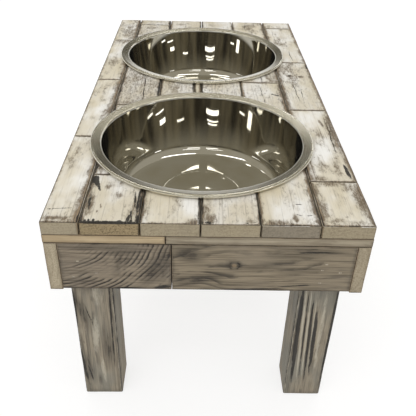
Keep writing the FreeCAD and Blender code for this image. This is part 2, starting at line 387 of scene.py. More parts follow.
def fill_ragged(tree):
    """Smooth field times noise that is stretched along the grain, cut off at one half."""
    along = reckon(tree, "DIVIDE", entry["Size"], entry["Stretch"])
    scale = put(tree, "CombineXYZ", {"X": entry["Size"], "Y": along, "Z": entry["Size"]})
    loose = placed(tree, "ADD", entry["Grain"], entry["Seed"])
    scaled = placed(tree, "MULTIPLY", loose, scale.outputs[0])
    grit = put(tree, "TexNoise", {"Vector": scaled, "Scale": 1.0, "Detail": 8.0, "Roughness": 0.72})
    swing = reckon(tree, "MULTIPLY", reckon(tree, "SUBTRACT", grit.outputs["Fac"], 0.5), entry["Rag"])
    torn = reckon(tree, "MULTIPLY", entry["Field"], reckon(tree, "MULTIPLY_ADD", swing, 3.0, 1.0))
    low = reckon(tree, "SUBTRACT", 0.5, entry["Softness"])
    high = reckon(tree, "ADD", 0.5, entry["Softness"])
    feed(tree, leave["Mask"], rise(tree, torn, low, high))


fill_ragged(ragged_group)
print("group", ragged_group.name)

# %% [markdown]
# ## Finishes for the wood
# Each wooden piece carries five values on its mesh: where a point lies in the grain, a seed of its own, and
# three fields from 0 to 1 that say how bare, how waxed and how toned it is there. The fields are smooth, and
# the ragged mask gives them their crisp edges, so the mesh needs no fine points for fine marks. The wear could
# be drawn in an image for each board, but a change of size would mean drawing it again.


# %% Values that the mesh carries
def read_fields(tree):
    """Sockets of the values stored on a wooden piece."""
    names = ("grain", "seed", "bare", "wax", "tone")
    nodes = {name: put(tree, "Attribute", attribute_name=name) for name in names}
    fields = {name: node.outputs["Fac"] for name, node in nodes.items()}
    fields["grain"] = nodes["grain"].outputs["Vector"]
    fields["loose"] = placed(tree, "ADD", fields["grain"], fields["seed"])
    return fields


def ragged(tree, fields, name, size, stretch, rag, softness):
    """Ragged mask of one of the stored fields."""
    inputs = {"Field": fields[name], "Grain": fields["grain"], "Seed": fields["seed"],
              "Size": size, "Stretch": stretch, "Rag": rag, "Softness": softness}
    return use_group(tree, ragged_group, inputs)["Mask"]


def figure(tree, fields, pith, tilt, spacing, wander, knot=NO_KNOT):
    """Rings and fibres of one piece, with a knot at a place in its grain."""
    inputs = {"Grain": fields["grain"], "Seed": fields["seed"], "Pith": pith, "Tilt": tilt,
              "Ring Spacing": spacing, "Wander": wander, "Knot": knot}
    return use_group(tree, figure_group, inputs)


def finish_surface(tree, shader, colour, roughness, height, depth):
    """Feed a Principled shader with colour, roughness and a bump of a real depth in metres."""
    feed(tree, shader.inputs["Base Color"], colour)
    feed(tree, shader.inputs["Roughness"], roughness)
    bump = put(tree, "Bump", {"Height": height, "Distance": depth, "Strength": 1.0})
    feed(tree, shader.inputs["Normal"], bump.outputs["Normal"])


print("fields: grain, seed, bare, wax, tone")

# %% [markdown]
# ## Chalk paint
# The top is cream chalk paint over stained wood, rubbed through at the edges and rubbed with a black wax. One
# flat colour with a dirt image would repeat from board to board. Here the layers lie in the order in which
# they were put on: wood, paint with yellowed and brushed places, grime, rubbed edges, and wax last.

# %% Chalk paint
CREAM = srgb(227, 219, 200)
CHALK = srgb(251, 250, 246)
YELLOWED = srgb(214, 202, 170)
VEIL = srgb(166, 154, 130)
GREY_WASH = srgb(150, 140, 124)
STAIN = srgb(112, 97, 76)
WOOD_PALE = srgb(160, 139, 110)
WOOD_DARK = srgb(72, 58, 44)
WAX_BLACK = srgb(30, 27, 24)


def chalk_paint():
    """Cream paint over stained wood, dirty and scrubbed at the edges, rubbed through and waxed."""
    material, tree, shader = new_material("chalk_paint")
    fields = read_fields(tree)
    loose = fields["loose"]
    # Wood under the paint
    rings = figure(tree, fields, (0.012, 0.0, -0.035), 0.06, 0.0045, 0.02)
    wood = mixed(tree, rise(tree, rings["Fibre"], 0.35, 0.65), WOOD_PALE, WOOD_DARK)
    wood = mixed(tree, reckon(tree, "MULTIPLY", rings["Late Wood"], 0.6), wood, WOOD_DARK)
    # Paint in two tones, yellowed in places, with grey brush strokes
    coat = mixed(tree, rise(tree, cloud(tree, loose, (28.0, 14.0, 28.0)), 0.38, 0.62), CREAM, CHALK)
    aged = rise(tree, cloud(tree, loose, (34.0, 11.0, 30.0), 4.0), 0.48, 0.70, 0.0, 0.6)
    coat = mixed(tree, aged, coat, YELLOWED)
    brush = cloud(tree, loose, (420.0, 30.0, 420.0), 5.0, 0.65)
    coat = mixed(tree, rise(tree, brush, 0.48, 0.78, 0.0, 0.32), coat, GREY_WASH)
    # Grime, scrubbed stains and fine scratches
    grime = rise(tree, cloud(tree, loose, (46.0, 20.0, 46.0), 5.0, 0.6), 0.42, 0.64, 0.0, 0.72)
    dirt = reckon(tree, "MAXIMUM", fields["tone"], grime)
    coat = mixed(tree, reckon(tree, "MULTIPLY", dirt, 0.5), coat, VEIL)
    grit = cloud(tree, loose, (430.0, 150.0, 430.0), 6.0, 0.78)
    scrub = reckon(tree, "MULTIPLY_ADD", reckon(tree, "SUBTRACT", grit, 0.5), 2.2, dirt)
    coat = mixed(tree, rise(tree, scrub, 0.38, 1.02, 0.0, 0.95), coat, STAIN)
    scratch = rise(tree, cloud(tree, loose, (900.0, 14.0, 900.0), 3.0, 0.6), 0.58, 0.66)
    coat = mixed(tree, reckon(tree, "MULTIPLY", scratch, dirt), coat, STAIN)
    # Rubbed places and black wax
    rubbed = ragged(tree, fields, "bare", 420.0, 3.0, 1.3, 0.32)
    waxed = ragged(tree, fields, "wax", 520.0, 5.0, 1.5, 0.18)
    colour = mixed(tree, reckon(tree, "MULTIPLY", rubbed, 0.85), coat, wood)
    colour = mixed(tree, reckon(tree, "MULTIPLY", waxed, 0.95), colour, WAX_BLACK)
    roughness = rise(tree, brush, 0.3, 0.7, 0.55, 0.75)
    thickness = reckon(tree, "SUBTRACT", 1.0, reckon(tree, "MAXIMUM", rubbed, waxed))
    height = reckon(tree, "MULTIPLY_ADD", brush, 0.5, thickness)
    finish_surface(tree, shader, colour, roughness, height, 0.00020)
    return material


paint = chalk_paint()
print("finish", paint.name)

# %% [markdown]
# ## Washed wood
# Below the top the wood is bare under a thin grey wash that settled in the pores. Each kind of piece came from
# another board. Ten materials could be built by hand, but they only differ in their colours, in the place of
# the pith and in the width of the rings, so one recipe makes them all.


# %% Washed wood
def washed_wood(name, pale, dark, pith, tilt, spacing, wander, contrast, wash=GREY_WASH, wash_share=0.35,
                fibre_share=0.6, knot=NO_KNOT, worn=WOOD_PALE):
    """Bare wood under a thin grey wash, darker in the late wood, with wax in its hollows."""
    material, tree, shader = new_material(name)
    fields = read_fields(tree)
    loose = fields["loose"]
    # Rings and fibres
    rings = figure(tree, fields, pith, tilt, spacing, wander, knot)
    strokes = rise(tree, cloud(tree, loose, (60.0, 30.0, 60.0), 4.0), 0.42, 0.58, 0.08, 1.0)
    late = reckon(tree, "MULTIPLY", rings["Late Wood"], reckon(tree, "MULTIPLY", strokes, contrast))
    colour = mixed(tree, late, pale, dark)
    colour = mixed(tree, rise(tree, rings["Fibre"], 0.42, 0.74, 0.0, fibre_share), colour, dark)
    # Grey wash in patches, and darker bands along the grain
    patches = cloud(tree, loose, (40.0, 12.0, 40.0), 4.0)
    colour = mixed(tree, rise(tree, patches, 0.42, 0.66, 0.0, wash_share), colour, wash)
    bands = cloud(tree, loose, (150.0, 5.0, 150.0), 5.0, 0.65)
    colour = mixed(tree, rise(tree, bands, 0.54, 0.78, 0.0, 0.7 * contrast), colour, dark)
    # Smears of wax, more of them where the tone is deep
    smear = cloud(tree, loose, (600.0, 60.0, 600.0), 6.0, 0.7)
    level = reckon(tree, "SUBTRACT", 0.85, reckon(tree, "MULTIPLY", fields["tone"], 0.5))
    colour = mixed(tree, rise(tree, smear, level, reckon(tree, "ADD", level, 0.25)), colour, WAX_BLACK)
    # Darker where the tone field is deep: real stains, and on the front legs a band of painted shade under the apron.
    colour = mixed(tree, reckon(tree, "MULTIPLY", fields["tone"], 0.6), colour, dark)
    # Rubbed places and black wax
    rubbed = ragged(tree, fields, "bare", 300.0, 4.0, 0.9, 0.25)
    colour = mixed(tree, reckon(tree, "MULTIPLY", rubbed, 0.6), colour, worn)
    waxed = ragged(tree, fields, "wax", 420.0, 7.0, 1.0, 0.22)
    colour = mixed(tree, reckon(tree, "MULTIPLY", waxed, 0.93), colour, WAX_BLACK)
    roughness = rise(tree, rings["Fibre"], 0.3, 0.7, 0.60, 0.80)
    height = reckon(tree, "MULTIPLY_ADD", rings["Late Wood"], 0.6, rings["Fibre"])
    height = reckon(tree, "SUBTRACT", height, waxed)
    finish_surface(tree, shader, colour, roughness, height, 0.00025)
    return material


end_wood = washed_wood(
    "board_end_wood", pale=srgb(178, 165, 138), dark=srgb(82, 70, 52), pith=(0.01, 0.0, -0.06), tilt=0.02,
    spacing=0.0032, wander=0.006, contrast=0.25, wash=srgb(160, 150, 130), wash_share=0.4, fibre_share=0.35)
brown_end_wood = washed_wood(
    "brown_board_end_wood", pale=srgb(166, 147, 112), dark=srgb(74, 62, 42), pith=(0.01, 0.0, -0.06), tilt=0.02,
    spacing=0.0032, wander=0.006, contrast=0.5, wash=srgb(150, 135, 104), wash_share=0.4, fibre_share=0.8)
grey_end_wood = washed_wood(
    "grey_board_end_wood", pale=srgb(152, 142, 124), dark=srgb(80, 72, 60), pith=(0.02, 0.0, -0.05), tilt=0.02,
    spacing=0.0038, wander=0.006, contrast=0.4, wash=srgb(140, 132, 118), wash_share=0.4, fibre_share=0.35)
slat_wood = washed_wood(
    "slat_wood", pale=srgb(202, 181, 146), dark=srgb(140, 120, 92), pith=(0.02, 0.0, -0.02), tilt=0.03,
    spacing=0.0040, wander=0.010, contrast=0.4, wash=srgb(186, 170, 140))
grey_slat_wood = washed_wood(
    "grey_slat_wood", pale=srgb(176, 164, 142), dark=srgb(104, 93, 76), pith=(0.02, 0.0, -0.02), tilt=0.03,
    spacing=0.0040, wander=0.010, contrast=0.6, wash=srgb(150, 142, 126))
apron_arcs = washed_wood(
    "arched_apron_wood", pale=srgb(151, 138, 119), dark=srgb(32, 26, 21), pith=(0.050, -0.064, 0.0), tilt=0.95,
    spacing=0.0034, wander=0.030, contrast=1.4, wash=srgb(130, 121, 108), wash_share=0.5)
apron_flow = washed_wood(
    "flowing_apron_wood", pale=srgb(152, 139, 117), dark=srgb(32, 27, 22), pith=(0.030, 0.0, -0.080), tilt=0.05,
    spacing=0.0030, wander=0.055, contrast=0.75, wash=srgb(138, 128, 112), wash_share=0.5, fibre_share=0.6,
    knot=(0.003, -0.024, 0.0))
side_wood = washed_wood(
    "side_apron_wood", pale=srgb(192, 179, 154), dark=srgb(118, 104, 82), pith=(0.006, 0.0, -0.07), tilt=0.08,
    spacing=0.0045, wander=0.016, contrast=0.4, wash=srgb(170, 160, 138))
leg_wood = washed_wood(
    "leg_wood", pale=srgb(164, 153, 134), dark=srgb(40, 35, 30), pith=(0.06, 0.0, -0.11), tilt=0.02, spacing=0.0048,
    wander=0.020, contrast=0.7, wash=srgb(136, 134, 124), wash_share=0.75, fibre_share=0.5,
    worn=srgb(208, 200, 182))
rail_wood = washed_wood(
    "rail_wood", pale=srgb(178, 160, 130), dark=srgb(120, 102, 78), pith=(0.0, 0.0, -0.03), tilt=0.04,
    spacing=0.0040, wander=0.010, contrast=0.5)
print("ten washed woods")

# %% [markdown]
# ## A blank for each wooden piece
# Every wooden piece starts as a block cut on a grid of lines, close together near the edges, where the wear
# is, and wider in the middle. A bevel tool could round the edges, but evenly, and worn wood is uneven. So the
# points near an edge are moved onto a rounded edge whose radius changes along the board, always inwards, so
# that no piece grows out of the space that it has in the frame.

# %% Blanks
# Distances from a face in millimetres, and the least gap between two cuts
EDGE_LINES = (0.0, 0.35, 0.8, 1.4, 2.2, 3.4)
LEAST_GAP = 0.15 * MM


def grid_lines(low, high, spacing, extra=()):
    """Places of the cuts between two faces, in metres, closer near the faces."""
    near = [line * MM for line in EDGE_LINES if line * MM < (high - low) / 2]
    first, last = low + near[-1], high - near[-1]
    count = max(1, math.ceil((last - first) / spacing))
    inner = [first + (last - first) * step / count for step in range(count + 1)]
    wanted = sorted([low + d for d in near] + [high - d for d in near] + inner
                    + [place for place in extra if low < place < high])
    kept = wanted[:1]
    for place in wanted[1:]:
        if place - kept[-1] > LEAST_GAP:
            kept.append(place)
    kept[-1] = high
    return kept


def block_shell(lines):
    """Points and faces of a block's surface, cut on the given lines along X, Y and Z."""
    index = {}
    points = []
    faces = []

    def corner(key):
        if key not in index:
            index[key] = len(points)
            points.append(tuple(lines[axis][key[axis]] for axis in range(3)))
        return index[key]

    for axis in range(3):
        u, v = (axis + 1) % 3, (axis + 2) % 3
        for end, turned in ((0, True), (len(lines[axis]) - 1, False)):
            for i in range(len(lines[u]) - 1):
                for j in range(len(lines[v]) - 1):
                    ring = []
                    for di, dj in ((0, 0), (1, 0), (1, 1), (0, 1)):
                        key = [0, 0, 0]
                        key[axis], key[u], key[v] = end, i + di, j + dj
                        ring.append(corner(tuple(key)))
                    faces.append(ring[::-1] if turned else ring)
    return points, faces


print("grid of", len(EDGE_LINES), "lines near each face")

# %% [markdown]
# ## Bowl holes
# The maker sawed the two round holes with a jigsaw after the boards were down. The arcs could be worked into
# each board's outline, but a Boolean with one round cutter does the same as the saw: it goes through whatever
# lies there, and the cuts in neighbouring boards meet.

# %% Hole saws
bowl_corners = {name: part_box(name) for name in ("front_bowl", "rear_bowl")}
bowl_axes = {name: (low + high) / 2 for name, (low, high) in bowl_corners.items()}
rim_radius = (bowl_corners["front_bowl"][1].x - bowl_corners["front_bowl"][0].x) / 2
rim_level = bowl_corners["front_bowl"][1].z


def off_axis(place, axis):
    """Level distance of a point from an upright axis."""
    return math.hypot(place.x - axis.x, place.y - axis.y)


hole_radius = min(off_axis(vertex.co, axis) for axis in bowl_axes.values()
                  for name in ("top_board_c2", "top_board_d2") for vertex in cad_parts[name].data.vertices)


def hole_saw(axis):
    """Round cutter, taller than the table, that stays out of the scene's table of pieces."""
    mesh = bpy.data.meshes.new("hole_saw")
    shape = bmesh.new()
    turn = Matrix.Translation((axis.x, axis.y, rim_level))
    bmesh.ops.create_cone(shape, cap_ends=True, segments=180, radius1=hole_radius, radius2=hole_radius,
                          depth=2 * rim_level, matrix=turn)
    shape.to_mesh(mesh)
    shape.free()
    return bpy.data.objects.new("hole_saw", mesh)


saws = {name: hole_saw(axis) for name, axis in bowl_axes.items()}
print("hole radius", round(hole_radius / MM, 2), "mm")


# %% Sawing
def sawn_mesh(name, points, faces):
    """Mesh of a blank after the bowl holes are sawn through it."""
    mesh = bpy.data.meshes.new(name)
    mesh.from_pydata(points, [], faces)
    low = [min(p[axis] for p in points) for axis in range(3)]
    high = [max(p[axis] for p in points) for axis in range(3)]
    for bowl, axis in bowl_axes.items():
        nearest = Vector([min(max(axis[i], low[i]), high[i]) for i in range(3)])
        if off_axis(nearest, axis) >= hole_radius:
            continue
        blank = bpy.data.objects.new("blank", mesh)
        scene.collection.objects.link(blank)
        scene.collection.objects.link(saws[bowl])
        cut = blank.modifiers.new("hole", "BOOLEAN")
        cut.object = saws[bowl]
        cut.operation = "DIFFERENCE"
        cut.solver = "EXACT"
        graph = bpy.context.evaluated_depsgraph_get()
        mesh = bpy.data.meshes.new_from_object(blank.evaluated_get(graph))
        scene.collection.objects.unlink(saws[bowl])
        bpy.data.objects.remove(blank)
    mesh.name = name
    return mesh


print("saws for", ", ".join(saws))

# %% [markdown]
# ## Marks
# A salvaged board is known by its marks: cracks along the grain, slits across it, stains, knots and rubbed
# places. Painting them with a brush would be freer, but a painted mark is hard to move. So each is written as
# a kind, a place in millimetres and its half sizes. It raises one of the smooth fields, and a crack or a slit
# also cuts a groove in the mesh.

# %% Mark fields
GROOVES = {"crack": 1.1 * MM, "slit": 0.7 * MM}
CRACK_SWAY = 1.4 * MM
CRACK_WAVE = 14 * MM
KNOT_RING = 0.75
# One kind of mark raises the tone field both for real smudges and for painted shade: a dark band on each front leg
# under the apron.
FIELD_OF = {"crack": "wax", "slit": "wax", "wax": "wax", "knot": "tone", "bare": "bare", "smudge": "tone"}


def mark_strength(mark, place, flat):
    """How strongly a mark covers a place: 1 inside, one half at its outline, 0 outside.

    flat holds the two axes of the marked face. The mark's first half size lies along the first.
    """
    kind, centre, sizes, strength, turn = mark
    offset = [place[axis] - value * MM for axis, value in zip(flat, centre)]
    if kind == "crack":
        offset[0] += CRACK_SWAY * noise.noise(Vector((centre[0], place[flat[1]] / CRACK_WAVE, 0.3)))
    c, s = math.cos(math.radians(turn)), math.sin(math.radians(turn))
    u = (offset[0] * c + offset[1] * s) / (sizes[0] * MM)
    v = (offset[1] * c - offset[0] * s) / (sizes[1] * MM)
    distance = math.hypot(u, v)
    if kind == "knot":
        return strength * max(0.0, 1.0 - 2.2 * abs(distance - KNOT_RING))
    return strength * min(1.0, max(0.0, 1.5 - distance))


print("kinds of mark:", ", ".join(FIELD_OF))

# %% Lists and cuts of marks
# Marks with a half size below this, in millimetres, need cuts of their own
THIN_MARK = 2.5


def listed(groups):
    """Marks of one piece, from a table by kind, as kind, place, half sizes, strength and turn."""
    return [(kind, mark[:2], mark[2:4], mark[4], mark[5] if len(mark) > 5 else 0)
            for kind, marks in groups.items() for mark in marks]


def how_many(table):
    """Number of marks in a table of pieces."""
    return sum(len(listed(groups)) for groups in table.values())


def mark_lines(marks, order):
    """Extra cuts through thin marks, along the axis that is given by its order in the face."""
    lines = []
    for kind, centre, sizes, _, _ in marks:
        reach = 3.0 if kind == "crack" and order == 0 else 1.5 * sizes[order]
        if sizes[order] < THIN_MARK:
            count = 6 if reach > 2 else 3
            lines += [(centre[order] + reach * step / count) * MM for step in range(-count, count + 1)]
    return lines


print("marks below", THIN_MARK, "mm get cuts of their own")

# %% [markdown]
# ## Worn edges
# Hands, feet and sandpaper wear a board most at its edges. The two helpers below say how bare and how waxed a
# point is from its distance to the nearest faces, and where it lies once the edge is rounded. Slow noise
# changes the width along the board, which an even bevel can't do.

# %% Worn edges
WEAR_WAVE = 22.0 * MM
FRAY_WAVE = 9.0 * MM
UNEVEN = 0.6
# Tone at the edge itself, and its reach as a share of the bare width with some millimetres more
EDGE_TONE = 0.95
TONE_SHARE, TONE_MORE = 2.6, 2.0
SIDES = ("left", "right", "front", "rear")


def edge_fields(gaps, wear, share, place, shift):
    """Bare and waxed fields from the edges of the two nearest faces."""
    first, second = sorted(gaps, key=gaps.get)[:2]
    fields = {"bare": 0.0, "wax": 0.0, "tone": 0.0}
    for name in (first, second):
        other = gaps[second] if name == first else gaps[first]
        if name not in wear:
            continue
        gap = max(gaps[name], other)
        _, bare, wax = wear[name]
        waver = share * (1.0 + UNEVEN * noise.noise(place / FRAY_WAVE + shift))
        fields["bare"] = max(fields["bare"], 1 - gap / (2 * bare * waver * MM))
        fields["wax"] = max(fields["wax"], 1 - gap / (2 * wax * waver * MM))
        fields["tone"] = max(fields["tone"], EDGE_TONE - gap / ((TONE_SHARE * bare + TONE_MORE) * waver * MM))
    return fields


def worn_place(place, low, high, gaps, wear, shift):
    """Point of a block moved in onto an unevenly rounded edge."""
    nearest = min((name for name in SIDES if name in wear), key=gaps.get)
    rounding = wear[nearest][0]
    radius = rounding * MM * (1.0 + UNEVEN * noise.noise(place / WEAR_WAVE + shift))
    core = Vector([min(max(place[a], low[a] + radius), high[a] - radius) for a in range(3)])
    out = place - core
    return core + out * (radius / out.length) if out.length > radius else place.copy()


print("wear changes over", round(WEAR_WAVE / MM), "mm")

# %% [markdown]
# ## A wooden piece
# With blanks, holes, marks and worn edges at hand, one function makes any wooden piece. It keeps the fields on
# the mesh as named attributes, where the finishes find them. Vertex paint could hold them as well, but named
# attributes aren't squeezed into colours.


# %% Keeping the fields
def store_fields(mesh, grain, fields, seed):
    """Keep the grain place, the seed and the fields on the mesh."""
    store = mesh.attributes.new("grain", "FLOAT_VECTOR", "POINT")
    store.data.foreach_set("vector", [value for place in grain for value in place])
    fields = dict(fields, seed=[seed] * len(grain))
    for name, values in fields.items():
        store = mesh.attributes.new(name, "FLOAT", "POINT")
        store.data.foreach_set("value", [max(0.0, value) for value in values])


print("fields can be kept")

# %% Choosing a finish for each face
UPWARD = 0.3


def by_top(normal):
    """First finish on faces that look up, second on the rest."""
    return 0 if normal.z > UPWARD else 1


def all_one(normal):
    """One finish all over."""
    return 0


print("finish by face, or one all over")

# %% Making a wooden piece
FACES = {"left": (0, 0), "right": (0, 1), "front": (1, 0), "rear": (1, 1), "bottom": (2, 0), "top": (2, 1)}
ON_FACE = 0.01 * MM
MARK_DEPTH = 1.0 * MM
HOLLOW = 0.12 * MM
SHARP_EDGE = math.radians(38)


def wooden_piece(node, finish, grain, face, spacing, wear, marks=(), tone=0.0, other_faces=1.0,
                 end_tone=0.0):
    """Worn piece that stands for a node of the frame.

    finish: materials, and a function that chooses one of them from a face's normal.
    grain: axes across, along and through the grain. face: the name of the marked face.
    wear: for each face, the edge's rounding and its bare and waxed widths in millimetres.
    tone and end_tone: least tone of the marked face and of the others.
    other_faces: share of the worn widths on the other faces.
    """
    materials, choose = finish
    axis, end_of_axis = FACES[face]
    flat = [a for a in range(3) if a != axis]
    low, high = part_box(node)
    extra = {flat[0]: mark_lines(marks, 0), flat[1]: mark_lines(marks, 1)}
    lines = [grid_lines(low[a], high[a], spacing, extra.get(a, ())) for a in range(3)]
    mesh = sawn_mesh(node + "_piece", *block_shell(lines))
    draws = random.Random(node)
    shift = Vector([draws.uniform(-9, 9) for _ in range(3)])
    middle = (low + high) / 2
    rest = [vertex.co.copy() for vertex in mesh.vertices]
    fields = {"bare": [], "wax": [], "tone": []}
    for vertex, place in zip(mesh.vertices, rest):
        gaps = {name: (place[a] - low[a] if end == 0 else high[a] - place[a]) for name, (a, end) in FACES.items()}
        marked = gaps[face] < ON_FACE
        values = edge_fields(gaps, wear, 1.0 if marked else other_faces, place, shift)
        values["tone"] = max(tone if marked else end_tone, values["tone"])
        groove = 0.0
        if gaps[face] < MARK_DEPTH:
            for mark in marks:
                covered = mark_strength(mark, place, flat)
                name = FIELD_OF[mark[0]]
                values[name] = max(values[name], covered)
                groove = max(groove, covered * GROOVES.get(mark[0], 0.0))
        for name, value in values.items():
            fields[name].append(value)
        vertex.co = worn_place(place, low, high, gaps, wear, shift)
        if marked:
            hollow = HOLLOW * (1 + noise.noise(place / WEAR_WAVE + shift))
            vertex.co[axis] += (groove + hollow) * (1 if end_of_axis == 0 else -1)
    store_fields(mesh, [Vector([(p - middle)[a] for a in grain]) for p in rest], fields, draws.uniform(0, 40))
    for polygon in mesh.polygons:
        polygon.use_smooth = True
        polygon.material_index = choose(polygon.normal)
    for material in materials:
        mesh.materials.append(material)
    mesh.set_sharp_from_angle(angle=SHARP_EDGE)
    piece = bpy.data.objects.new(node + "_piece", mesh)
    scene.collection.objects.link(piece)
    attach(piece, "stand")
    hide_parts(node)


print("wooden pieces can be made")

# %% [markdown]
# ## Top boards
# The boards lie in six columns, lettered a to f from left to right. The seams beside the outer columns are
# the widest and the darkest. One width of wear for all would be less to write, but it would look like new
# boards from one machine, so each column has its own wear, and single boards differ from their column.

# %% Wear of the columns
# For each side: rounding, bare width and waxed width, in millimetres
COLUMN_WEAR = {
    "a": {"left": (0.9, 0.8, 0.5), "right": (2.2, 3.6, 0.8)},
    "b": {"left": (2.0, 2.6, 1.6), "right": (1.5, 2.6, 2.3)},
    "c": {"left": (1.0, 1.2, 0.8), "right": (1.1, 1.2, 1.5)},
    "d": {"left": (1.1, 1.4, 1.4), "right": (0.9, 0.9, 0.8)},
    "e": {"left": (0.9, 1.4, 0.4), "right": (1.5, 2.8, 0.6)},
    "f": {"left": (1.6, 3.0, 0.7), "right": (1.1, 2.6, 0.5)},
}
END_WEAR = {"front": (0.6, 0.8, 0.4), "rear": (0.6, 0.8, 0.4)}
BOARD_WEAR = {
    "a1": {"front": (0.8, 1.6, 0.6)},
    "b1": {"front": (1.0, 1.2, 1.6)},
    "e1": {"front": (0.9, 1.6, 0.6)},
    "f1": {"front": (0.8, 1.4, 0.5)},
}
BOARD_TONE = {
    "b1": 0.3, "b2": 0.35, "b3": 0.45, "b4": 0.62, "b5": 0.45, "b6": 0.45, "c1": 0.2, "c2": 0.52, "c3": 0.35,
    "d1": 0.42, "d2": 0.5, "d3": 0.35, "e1": 0.26, "e2": 0.35, "e3": 0.38, "f2": 0.1, "f3": 0.36, "f4": 0.25,
    "f5": 0.2,
}
END_TONE = {"c1": 0.12, "d1": 0.12, "e1": 0.1, "f1": 0.2}
BOARD_ENDS = {"b1": brown_end_wood, "e1": grey_end_wood}
print("wear for columns", ", ".join(COLUMN_WEAR))

# %% [markdown]
# ## Marks on the boards
# These tables hold what makes each board its own: the chipped black wax at the front of board b1, the slits in
# e1, the dark knots of f3. Random marks would be quicker, but they would never be this table.

